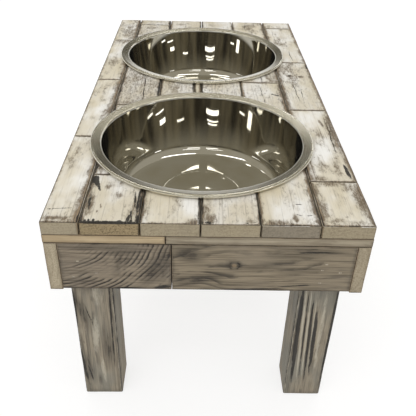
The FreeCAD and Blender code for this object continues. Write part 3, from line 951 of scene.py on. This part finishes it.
# %% Marks on the boards
# Each mark: place x and y, half sizes, strength, and a turn in degrees if it has one
BOARD_MARKS = {
    "a1": {
        "bare": [(-121, -257.5, 5, 3, 0.75), (-106, -260, 7, 2, 0.7)],
        "smudge": [(-114, -257, 13, 3.5, 0.8), (-119, -174, 3.5, 3, 0.6), (-102, -238, 3.5, 16, 0.7)],
        "slit": [(-114, -244.2, 13, 0.3, 0.75, 4), (-108.5, -175.3, 9, 0.25, 0.5, -16)]},
    "a2": {
        "smudge": [(-111.6, -38, 4, 5, 0.6, 20), (-116, -82, 4, 4, 0.5)]},
    "a3": {
        "smudge": [(-105, 60, 4, 2.5, 0.7, 30)]},
    "a4": {
        "slit": [(-112, 202, 9, 0.4, 0.8, 3)]},
    "b1": {
        "wax": [(-94.4, -200.5, 2.8, 4.5, 1.7), (-92.2, -207, 1.7, 6, 1.6, 20), (-89.4, -214, 0.8, 5.5, 1.5, 22),
                (-94, -232, 1.3, 14, 0.6, 4), (-55.3, -240, 1.3, 24, 0.85, 1), (-58.3, -231, 0.8, 12, 0.8, 4),
                (-59.6, -250, 0.8, 10, 0.75, 8), (-60.8, -221, 0.5, 9, 0.7), (-75, -262.2, 20, 1.7, 1.4),
                (-93.5, -261, 1.3, 2.6, 1.0), (-90.6, -260.6, 1.0, 2.6, 0.9), (-86.9, -260.4, 1.2, 2.8, 1.0),
                (-83.3, -261.2, 1.4, 1.8, 0.9), (-67.6, -261, 1.6, 2.0, 0.9), (-61.4, -258, 1.2, 5.2, 1.0, -4),
                (-58.5, -260.5, 1.2, 2.6, 0.9)],
        "smudge": [(-76, -207, 12, 7, 0.55), (-82, -212, 3.5, 4, 0.75), (-72.5, -225, 4, 6, 0.8, 10),
                   (-93.5, -236, 4, 22, 0.85, 3), (-57, -240, 4, 22, 0.7)],
        "bare": [(-84, -241, 0.9, 3.5, 0.75, 15), (-86, -248, 0.8, 2.5, 0.7)]},
    "b2": {
        "wax": [(-95.8, -176, 1.8, 14, 0.8)],
        "smudge": [(-93, -178, 5, 16, 0.8)]},
    "b3": {
        "smudge": [(-84, -50, 12, 5, 0.8)],
        "wax": [(-84, -47, 11, 1.2, 0.7)]},
    "b4": {
        "crack": [(-71, 2, 0.45, 48, 0.9, 2)],
        "wax": [(-54, 0, 1.6, 40, 0.75)],
        "smudge": [(-72, 14, 4, 34, 0.6), (-84, -44, 12, 5, 0.8), (-58, 4, 5, 36, 0.6)]},
    "b5": {
        "smudge": [(-80, 226, 14, 9, 0.7)]},
    "c1": {
        "bare": [(-12, -261, 4.5, 2.2, 0.8)],
        "smudge": [(-12, -259, 7, 4, 0.75), (-49, -230, 3, 24, 0.45), (-7, -240, 2.5, 20, 0.5)]},
    "c3": {
        "smudge": [(-36, 245, 10, 5, 0.7)],
        "slit": [(-30, 232, 0.4, 26, 0.5)]},
    "d1": {
        "smudge": [(1, -256, 6, 8, 0.95), (0, -240, 3, 20, 0.65), (33, -258, 6, 4, 0.7), (38, -234, 2.5, 24, 0.6)],
        "wax": [(0, -260.5, 3.5, 2.0, 0.65), (28.5, -260.5, 1.8, 0.8, 0.8), (34.5, -259.5, 1.6, 0.7, 0.8)]},
    "e1": {
        "slit": [(71.6, -233.8, 2.8, 0.5, 1.0), (70.4, -248.6, 2.2, 0.45, 1.0, -20),
                 (78.1, -249.1, 2.2, 0.45, 1.0, 10)],
        "smudge": [(53, -259, 11, 4, 0.85), (66.5, -253, 2.6, 7, 0.8), (76, -205, 9, 6, 0.5),
                   (80.5, -216, 4, 8, 0.6), (82, -240, 2.5, 22, 0.6)],
        "bare": [(47, -260.6, 4.5, 1.8, 0.75), (58, -261, 5.5, 1.6, 0.72), (66.5, -254, 1.0, 5.5, 0.75)]},
    "e2": {
        "crack": [(62.5, -18, 0.4, 34, 0.8, 2)],
        "wax": [(76, -15, 7, 1.2, 0.9, -28)],
        "smudge": [(58, 0, 10, 20, 0.5), (80, -20, 3, 26, 0.6)]},
    "e3": {
        "crack": [(64.4, 44, 0.4, 24, 0.8)],
        "smudge": [(79, 40, 3, 18, 0.6)]},
    "e4": {
        "crack": [(58, 236, 0.4, 22, 0.7)],
        "slit": [(60, 242, 16, 0.4, 0.7, 2)]},
    "f1": {
        "smudge": [(99, -256, 7, 4, 0.8), (112, -258.5, 13, 3, 0.65), (122, -226, 5, 26, 0.9),
                   (106, -203, 18, 4, 0.8), (116, -209, 7, 7, 0.7, 20), (91, -236, 3.5, 26, 0.75)],
        "bare": [(125, -214, 2.5, 13, 0.75)]},
    "f2": {
        "wax": [(121.5, -181, 1.7, 11, 1.1, 3)],
        "bare": [(123.8, -105, 2.2, 44, 0.8, -2), (115, -85, 1.8, 10, 0.7, 8)],
        "smudge": [(121, -105, 4, 50, 0.75, -2), (95, -194, 9, 5, 0.85), (92, -172, 3, 20, 0.7)],
        "crack": [(119.6, -112, 0.4, 44, 0.75, -1)]},
    "f3": {
        "smudge": [(100, 44, 5, 5, 0.95), (113, 42, 4.5, 4.5, 0.9), (105, 64, 18, 18, 0.5)],
        "wax": [(100, 44, 2.4, 2.4, 0.7), (113, 42, 1.8, 2.0, 0.65), (125.2, 78, 1.4, 10, 0.8)],
        "crack": [(101, -4, 0.4, 30, 0.85, 2), (107, -8, 0.35, 24, 0.7, -3)]},
    "f4": {
        "crack": [(111, 116, 0.4, 22, 0.8, 1), (97, 196, 0.35, 28, 0.6)],
        "slit": [(118, 190, 8, 0.4, 0.8, 2)],
        "smudge": [(108, 188, 10, 16, 0.4)]},
}
print(how_many(BOARD_MARKS), "marks on the boards")

# %% Lay the top
BOARD_GRAIN = (0, 1, 2)
BOARD_GRID = 3.0 * MM
STRIP_GRID = 2.0 * MM
STRIP_TONE = 0.35
# Share of the worn widths on a board's hidden faces
INNER_WEAR = 0.2
TOP_EDGE = (0.4, 0.1, 0.1)
boards = sorted(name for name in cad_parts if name.startswith("top_board_"))
for name in boards:
    board = name.removeprefix("top_board_")
    wear = {**COLUMN_WEAR[board[0]], **END_WEAR, **BOARD_WEAR.get(board, {}), "top": TOP_EDGE}
    ends = BOARD_ENDS.get(board, end_wood)
    wooden_piece(name, ([paint, ends], by_top), BOARD_GRAIN, "top", BOARD_GRID, wear,
                 listed(BOARD_MARKS.get(board, {})), BOARD_TONE.get(board, 0.0), INNER_WEAR, END_TONE.get(board, 0.0))
strip_wear = {"left": (1.0, 1.2, 1.1), "right": (1.0, 1.4, 1.3), "top": TOP_EDGE}
wooden_piece("top_filler_strip", ([paint, end_wood], by_top), BOARD_GRAIN, "top", STRIP_GRID,
             strip_wear, tone=STRIP_TONE, other_faces=INNER_WEAR)
print(len(boards), "boards and a filler strip")

# %% [markdown]
# ## Deck slats
# Thin slats lie across the table under the boards and carry them. Only their ends and the front one show, as a
# pale strip. They could stay plain blocks, but a sharp clean edge would stand out beside the worn ones, so they
# get a little wear, few cuts and no marks.

# %% Deck slats
SLAT_GRAIN = (1, 0, 2)
SLAT_GRID = 5.0 * MM
SLAT_WEAR = dict.fromkeys(FACES, (0.5, 0.5, 0.12))
slats = sorted(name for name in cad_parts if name.startswith("deck_slat_"))
for name in slats:
    finish = grey_slat_wood if name == "deck_slat_1_right" else slat_wood
    wooden_piece(name, ([finish], all_one), SLAT_GRAIN, "front", SLAT_GRID, SLAT_WEAR)
print(len(slats), "deck slats")

# %% [markdown]
# ## Aprons and rails
# The left half of the front apron was cut across the log's heart, so its rings stand as arcs, and the right
# half has flowing grain round a knot. They could share one board's figure, but the joint between them only
# shows because the figure changes there. The backer rails behind them are hidden and stay plain.

# %% Wear and marks of the aprons
APRON_WEAR = {**dict.fromkeys(SIDES, (0.4, 0.6, 0.2)), "bottom": (0.7, 0.7, 0.6), "top": (0.6, 0.6, 0.4)}
BUTT_JOINT = (0.1, 0.3, 0.3)
APRON_MARKS = {
    "front_apron_left": {
        "wax": [(-66, 160, 14, 1.2, 0.8, 2), (-36, 162, 8, 2.0, 0.75, 10)],
        "smudge": [(-66, 197, 17, 2.2, 0.8, 4), (-41, 182, 6, 20, 0.8, -28), (-70, 186, 2.6, 12, 0.75, -14),
                   (-64, 188, 1.8, 9, 0.6, -16), (-100, 166, 12, 4, 0.5), (-84, 201, 30, 2.5, 0.7),
                   (-33, 185, 3, 16, 0.85, -14)]},
    "front_apron_right": {
        "knot": [(21, 185, 5.4, 5.0, 1.05)],
        "bare": [(21, 185, 2.2, 2.0, 0.7)],
        "smudge": [(84, 200, 24, 2.6, 0.95, -3), (72, 196, 22, 5, 0.6, -4), (-16, 196, 12, 7, 0.9, -20),
                   (-2, 171, 20, 4, 0.9, 14), (-18, 168, 12, 6, 0.7), (50, 186, 22, 4, 0.6, 10),
                   (74, 180, 20, 3, 0.5, 12), (30, 166, 20, 3, 0.4, 4)],
        "wax": [(40, 160.5, 22, 0.9, 0.9, 2), (72, 164.5, 14, 0.7, 0.8, 4)]},
}
print(how_many(APRON_MARKS), "marks on the front apron")

# %% Aprons and rails
APRON_GRAIN = (2, 0, 1)
SIDE_GRAIN = (2, 1, 0)
APRON_GRID = 3.0 * MM
SIDE_GRID = 3.5 * MM
RAIL_GRID = 6.0 * MM
SIDE_END_TONE = {"left": 0.0, "right": 0.4}
end_aprons = {"front_apron_left": apron_arcs, "front_apron_right": apron_flow,
              "rear_apron_left": apron_flow, "rear_apron_right": apron_arcs}
for name, finish in end_aprons.items():
    face = "front" if name.startswith("front") else "rear"
    wear = {**APRON_WEAR, ("right" if name.endswith("left") else "left"): BUTT_JOINT}
    wooden_piece(name, ([finish], all_one), APRON_GRAIN, face, APRON_GRID, wear,
                 listed(APRON_MARKS.get(name, {})))
for side in ("left", "right"):
    wooden_piece(f"side_apron_{side}", ([side_wood], all_one), SIDE_GRAIN, side, SIDE_GRID,
                 APRON_WEAR, end_tone=SIDE_END_TONE[side])
for end in ("front", "rear"):
    wooden_piece(f"{end}_backer_rail", ([rail_wood], all_one), APRON_GRAIN, end, RAIL_GRID,
                 SLAT_WEAR)
print("four end aprons, two side aprons, two rails")

# %% [markdown]
# ## Legs
# The legs are square sticks with deep weathered streaks that hold black wax. Streaks from noise alone would run
# evenly over each leg, so the strongest ones on the front legs are marks: dark furrows and rubbed pale ridges.
# A wide dark band across each front leg, just under the front apron, is painted shade.

# %% Wear and marks of the legs
LEG_WEAR = {**dict.fromkeys(SIDES, (1.4, 1.2, 0.7)), "bottom": (1.0, 0.8, 0.5)}
LEG_MARKS = {
    "leg_front_left": {
        "knot": [(-114.2, 73, 2.6, 3.0, 1.0)],
        "wax": [(-115.6, 112, 1.3, 26, 0.85, -2), (-115.2, 42, 2.0, 26, 0.95, 5), (-84.6, 100, 1.0, 60, 0.9, -1),
                (-109.6, 30, 0.9, 12, 0.8, 8)],
        # The band at a height of 148 mm, across the leg just under the front apron, is painted shade; the other marks
        # of this list are smudges.
        "smudge": [(-90, 66, 5, 26, 0.8), (-110, 112, 4, 22, 0.85, 12), (-101, 148, 16, 9, 0.8),
                   (-110.5, 40, 3.5, 20, 0.8, 8), (-101, 20, 1.8, 7, 0.8)],
        "crack": [(-103.6, 104, 0.4, 16, 0.8, 10)],
        "bare": [(-95, 134, 6, 17, 0.52), (-100, 84, 3.4, 27, 0.7, -4), (-97, 36, 2.2, 20, 0.7, 3)]},
    "leg_front_right": {
        "wax": [(85.2, 84, 1.9, 62, 1.2, 1), (91.4, 84, 0.8, 58, 0.95, 2), (96.6, 78, 1.2, 52, 1.1, 2),
                (101.2, 74, 1.7, 40, 1.2, 2), (115.4, 84, 1.5, 66, 1.1)],
        "bare": [(89.2, 82, 0.9, 62, 1.0, 2), (93.8, 84, 0.8, 58, 0.95, 2), (98.9, 84, 0.6, 52, 0.8, 2),
                 (106.4, 84, 2.4, 58, 0.58, 1)],
        # This band across the leg, just under the front apron, is painted shade.
        "smudge": [(99, 150, 16, 7, 0.7)]},
}
print(how_many(LEG_MARKS), "marks on the front legs")

# %% Legs
LEG_GRAIN = (0, 2, 1)
LEG_GRID = 3.2 * MM
legs = sorted(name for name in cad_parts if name.startswith("leg_"))
for name in legs:
    face = "front" if "front" in name else "rear"
    wooden_piece(name, ([leg_wood], all_one), LEG_GRAIN, face, LEG_GRID, LEG_WEAR,
                 listed(LEG_MARKS.get(name, {})))
print(len(legs), "legs")

# %% [markdown]
# ## Bowl section
# Each bowl is spun from one sheet of stainless steel: a flat floor with a raised disc, a rounded corner, a
# flared wall with a slight bow, a tight lip, a rim that rises a little and a bead rolled under its edge. A
# cylinder could be pushed into shape by hand, but a mirror shows every dent. So the line of the sheet is drawn
# once with runs and arcs that touch each other, and the wall's slope follows from their centres and radii.

# %% Sizes of a bowl
flange_width = 10.5 * MM
flange_slope = 10.6
corner_radius = 14.0 * MM
lip_radius = 2.0 * MM
bead_radius = 1.8 * MM
bead_curl = 40.0
wall_flare = 9.5 * MM
wall_bow = 5.0
disc_radius = 40.0 * MM
disc_height = 1.2 * MM
disc_slope = 2.5 * MM
sheet = 0.8 * MM
bowl_low = bowl_corners["front_bowl"][0].z
floor_level = bowl_low + sheet
print("bowl", round((rim_level - bowl_low) / MM, 1), "mm deep,", round(2 * rim_radius / MM, 1), "mm across")


# %% Runs and arcs
def arc_points(centre, radius, start, end, count):
    """Points on an arc between two angles in degrees."""
    angles = [math.radians(start + (end - start) * step / count) for step in range(count + 1)]
    return [Vector((centre[0] + radius * math.cos(a), centre[1] + radius * math.sin(a))) for a in angles]


def run_points(start, end, count):
    """Points along a straight run, without its ends."""
    return [start.lerp(end, step / count) for step in range(1, count)]


def bowed_points(start, end, lean, bow, count):
    """Points along a run that leans out by a bow in degrees more at its start and less at its end."""
    first, last = math.radians(lean - bow), math.radians(lean + bow)
    third = (end - start).length / 3
    near = start + third * Vector((math.cos(first), math.sin(first)))
    far = end - third * Vector((math.cos(last), math.sin(last)))
    shares = [step / count for step in range(1, count)]
    return [start * (1 - t) ** 3 + near * 3 * t * (1 - t) ** 2 + far * 3 * t * t * (1 - t) + end * t ** 3
            for t in shares]


print("runs and arcs can be drawn")


# %% Section of the sheet
def sheet_line():
    """Upper line of the sheet from the axis to the end of the bead, as radius and height."""
    wall_radius = rim_radius - flange_width
    floor_radius = wall_radius - wall_flare - corner_radius
    corner = Vector((floor_radius, floor_level + corner_radius))
    bead = Vector((rim_radius - bead_radius, rim_level - bead_radius))
    slope = math.radians(flange_slope)
    reach = bead.x - wall_radius - lip_radius
    lip_drop = (lip_radius - bead_radius + reach * math.sin(slope)) / math.cos(slope)
    lip = Vector((wall_radius + lip_radius, bead.y - lip_drop))
    across = lip - corner
    bearing = math.degrees(math.atan2(across.y, across.x))
    touch = bearing - math.degrees(math.acos((corner_radius + lip_radius) / across.length))
    disc = [Vector((disc_radius - disc_slope * (1 - t), floor_level + disc_height * (1 - t * t * (3 - 2 * t))))
            for t in (0.0, 0.15, 0.3, 0.5, 0.7, 0.85, 1.0)]
    floor_arc = arc_points(corner, corner_radius, -90, touch - wall_bow, 18)
    lip_arc = arc_points(lip, lip_radius, touch + 180 + wall_bow, 90 + flange_slope, 14)
    wall = bowed_points(floor_arc[-1], lip_arc[0], touch + 90, wall_bow, 24)
    bead_arc = arc_points(bead, bead_radius, 90 + flange_slope, -90 - bead_curl, 18)
    centre = Vector((0, floor_level + disc_height))
    return ([centre] + run_points(centre, disc[0], 10) + disc + run_points(disc[-1], floor_arc[0], 8) + floor_arc
            + wall + lip_arc + run_points(lip_arc[-1], bead_arc[0], 5) + bead_arc)


section = sheet_line()
print(len(section), "points on the sheet's upper line")

# %% [markdown]
# ## Steel
# The inside is polished to a mirror and the rim is left satin. Two materials would meet in a hard line, so one
# steel reads from the mesh how satin a point is. The satin rim also gets a lighter, warmer tint, which is a
# painted sheen. Fine turning lines follow the spin, as the tool left them.

# %% Steel
STEEL = srgb(212, 210, 203)
STEEL_WARM = srgb(203, 199, 187)
# Lighter, warmer tint of the satin rim: a painted sheen
SATIN_PAINTED_SHEEN = srgb(226, 222, 207)


def polished_steel():
    """Mirror polish inside, satin on the flat rim with a painted sheen in its lighter tint, fine turning lines and
    dull smears.
    """
    material, tree, shader = new_material("polished_steel")
    spun = put(tree, "Attribute", attribute_name="spun").outputs["Vector"]
    satin = put(tree, "Attribute", attribute_name="satin").outputs["Fac"]
    lines = cloud(tree, spun, (5200.0, 0.6, 5200.0), 2.0, 0.6)
    broad = cloud(tree, spun, (420.0, 0.5, 420.0), 2.0)
    smears = cloud(tree, put(tree, "TexCoord").outputs["Object"], (26.0, 26.0, 26.0), 4.0)
    tint = mixed(tree, rise(tree, smears, 0.40, 0.70), STEEL, STEEL_WARM)
    # The satin rim takes the lighter tint, a painted sheen.
    tint = mixed(tree, reckon(tree, "MULTIPLY", satin, 0.8), tint, SATIN_PAINTED_SHEEN)
    clear = rise(tree, smears, 0.35, 0.75, 0.02, 0.06)
    roughness = reckon(tree, "ADD", clear, reckon(tree, "MULTIPLY", satin, 0.17))
    feed(tree, shader.inputs["Base Color"], tint)
    feed(tree, shader.inputs["Roughness"], roughness)
    shader.inputs["Metallic"].default_value = 0.99
    height = reckon(tree, "MULTIPLY_ADD", lines, 0.25, broad)
    strength = rise(tree, satin, 0.0, 1.0, 0.08, 0.6)
    bump = put(tree, "Bump", {"Height": height, "Distance": 0.00002, "Strength": strength})
    feed(tree, shader.inputs["Normal"], bump.outputs["Normal"])
    return material


steel = polished_steel()
print("finish", steel.name)

# %% [markdown]
# ## Spinning the bowls
# The line is turned about the bowl's axis, as on a spinning lathe. A Screw modifier would turn it too, but here
# each point also has to keep its radius and angle for the turning lines.

# %% Spin the bowls
SPIN_STEPS = 224
# The satin finish and its painted sheen are full at this share of the rim's width from the lip, and end this share of
# it below the top
SATIN_RAMP, SATIN_DROP = 0.15, 0.4


def spin_bowl(name, axis):
    """Bowl turned from the sheet's line, with its thickness, at an axis of the table."""
    under = []
    for index, here in enumerate(section):
        before, after = section[max(index - 1, 0)], section[min(index + 1, len(section) - 1)]
        run = (after - before).normalized()
        under.append(here + Vector((run.y, -run.x)) * sheet)
    under[0].x = 0.0
    outline = section + under[::-1]
    points, faces, spun, satin = [], [], [], []
    for step in range(SPIN_STEPS):
        turn = 2 * math.pi * step / SPIN_STEPS
        for radius, height in outline:
            points.append((axis.x + radius * math.cos(turn), axis.y + radius * math.sin(turn), height))
            spun += [radius, turn, height]
            flat = (radius - (rim_radius - flange_width)) / (SATIN_RAMP * flange_width)
            satin.append(min(1.0, max(0.0, flat)) if height > rim_level - SATIN_DROP * flange_width else 0.0)
    count = len(outline)
    for step in range(SPIN_STEPS):
        a, b = step * count, (step + 1) % SPIN_STEPS * count
        faces += [(a + i, b + i, b + i + 1, a + i + 1) for i in range(count - 1)]
    mesh = bpy.data.meshes.new(name + "_spun")
    mesh.from_pydata(points, [], faces)
    mesh.attributes.new("spun", "FLOAT_VECTOR", "POINT").data.foreach_set("vector", spun)
    mesh.attributes.new("satin", "FLOAT", "POINT").data.foreach_set("value", satin)
    shape = bmesh.new()
    shape.from_mesh(mesh)
    bmesh.ops.remove_doubles(shape, verts=shape.verts, dist=1e-6)
    bmesh.ops.recalc_face_normals(shape, faces=shape.faces)
    for face in shape.faces:
        face.smooth = True
    shape.to_mesh(mesh)
    shape.free()
    mesh.materials.append(steel)
    bowl = bpy.data.objects.new(name + "_spun", mesh)
    scene.collection.objects.link(bowl)
    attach(bowl, name)
    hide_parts(name)
    return len(mesh.vertices)


for name, axis in bowl_axes.items():
    print(name, spin_bowl(name, axis), "points")

# %% [markdown]
# ## Brads
# The aprons are held by brads, flat wire nails from an air gun. Their small heads sit flush with the wood and
# show as pale dots. The frame's own nodes have the right shape, so they only get a finish: bare steel with
# remains of the pale filler that was wiped over them.


# %% Brad wire
def brad_wire():
    """Dull bright wire with pale filler on it."""
    material, tree, shader = new_material("brad_wire")
    place = put(tree, "TexCoord").outputs["Object"]
    patches = rise(tree, cloud(tree, place, (900.0, 900.0, 900.0), 3.0), 0.40, 0.60)
    feed(tree, shader.inputs["Base Color"], mixed(tree, patches, srgb(196, 186, 166), srgb(150, 142, 130)))
    feed(tree, shader.inputs["Metallic"], reckon(tree, "MULTIPLY", patches, 0.7))
    feed(tree, shader.inputs["Roughness"], rise(tree, patches, 0.0, 1.0, 0.65, 0.38))
    return material


wire = brad_wire()
brads = sorted(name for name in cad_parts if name.endswith("_brads"))
for name in brads:
    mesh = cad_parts[name].data
    mesh.materials.clear()
    mesh.materials.append(wire)
print(len(brads), "groups of brads")

# %% [markdown]
# The dressed pieces must stay in the box of the frame. The hole saws are no pieces of the table, so they are
# taken away.

# %% Remove the hole saws
for saw in saws.values():
    bpy.data.objects.remove(saw)
